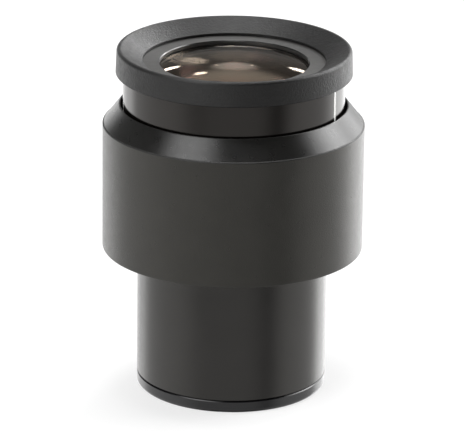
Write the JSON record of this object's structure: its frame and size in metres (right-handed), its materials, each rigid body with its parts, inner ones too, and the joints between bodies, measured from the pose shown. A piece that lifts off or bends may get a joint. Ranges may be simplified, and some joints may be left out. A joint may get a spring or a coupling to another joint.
{
  "type": "telescope eyepiece",
  "caption": "Telescope eyepiece: a slim barrel under a wide chamfered collar, with a turning helical sleeve and eyecup that raises a non-rotating lens group.",
  "frame": {"origin": "centre of the nose ring's face, the bottom of the part, on the optical axis", "axes": "+Z along the optical axis, from the telescope toward the eye; -Y faces the viewer of the reference view, +X to the right"},
  "size_m": [0.0434, 0.0434, 0.0584],
  "materials": {
    "barrel_black": "satin black anodised",
    "nose_black": "gloss black anodised",
    "blackened": "matt black",
    "collar_black": "satin black anodised, turned",
    "brass": "turned",
    "screw_steel": "bright",
    "o_ring_rubber": "greased",
    "cell_black": "matt black anodised",
    "coated_glass": "polished, coated",
    "lens_ring_black": "satin black anodised",
    "crown_glass": "polished, coated",
    "flint_glass": "polished, coated",
    "washer_polymer": "smooth",
    "sleeve_black": "gloss black anodised",
    "index_white": "filled paint",
    "eyecup_black": "matt moulded"
  },
  "bodies": {
    "barrel_group": {"barrel": "barrel_black", "nose_ring": "nose_black", "glare_baffle": "blackened", "field_stop": "blackened", "field_stop_ring": "blackened", "collar": "collar_black", "helicoid_nut": "brass", "nut_lock_ring": "brass", "guide_screws": "screw_steel", "drag_o_ring": "o_ring_rubber"},
    "lens_group": {"lens_cell": "cell_black", "eye_lens": "coated_glass", "eye_lens_ring": "lens_ring_black", "doublet_crown": "crown_glass", "doublet_flint": "flint_glass", "lens_spacer": "blackened", "field_lens": "crown_glass", "field_lens_ring": "blackened", "thrust_washer_lower": "washer_polymer", "thrust_washer_upper": "washer_polymer"},
    "focus_group": {"focus_sleeve": "sleeve_black", "index_lines": "index_white", "drive_ring": "brass", "drive_ring_screws": "screw_steel", "eyecup": "eyecup_black"}
  },
  "joints": [
    {"name": "diopter_lift", "type": "slide", "parent": "barrel_group", "child": "lens_group", "axis": [0, 0, 1], "range_m": [-0.0045, 0.0015]},
    {"name": "diopter_turn", "type": "hinge", "parent": "lens_group", "child": "focus_group", "pos_m": [0, 0, 0.05], "axis": [0, 0, 1], "range_deg": [-202.5, 67.5]}
  ],
  "couplings": [
    {"joint": "diopter_lift", "follows": "diopter_turn", "m_per_rad": 0.0012732}
  ]
}
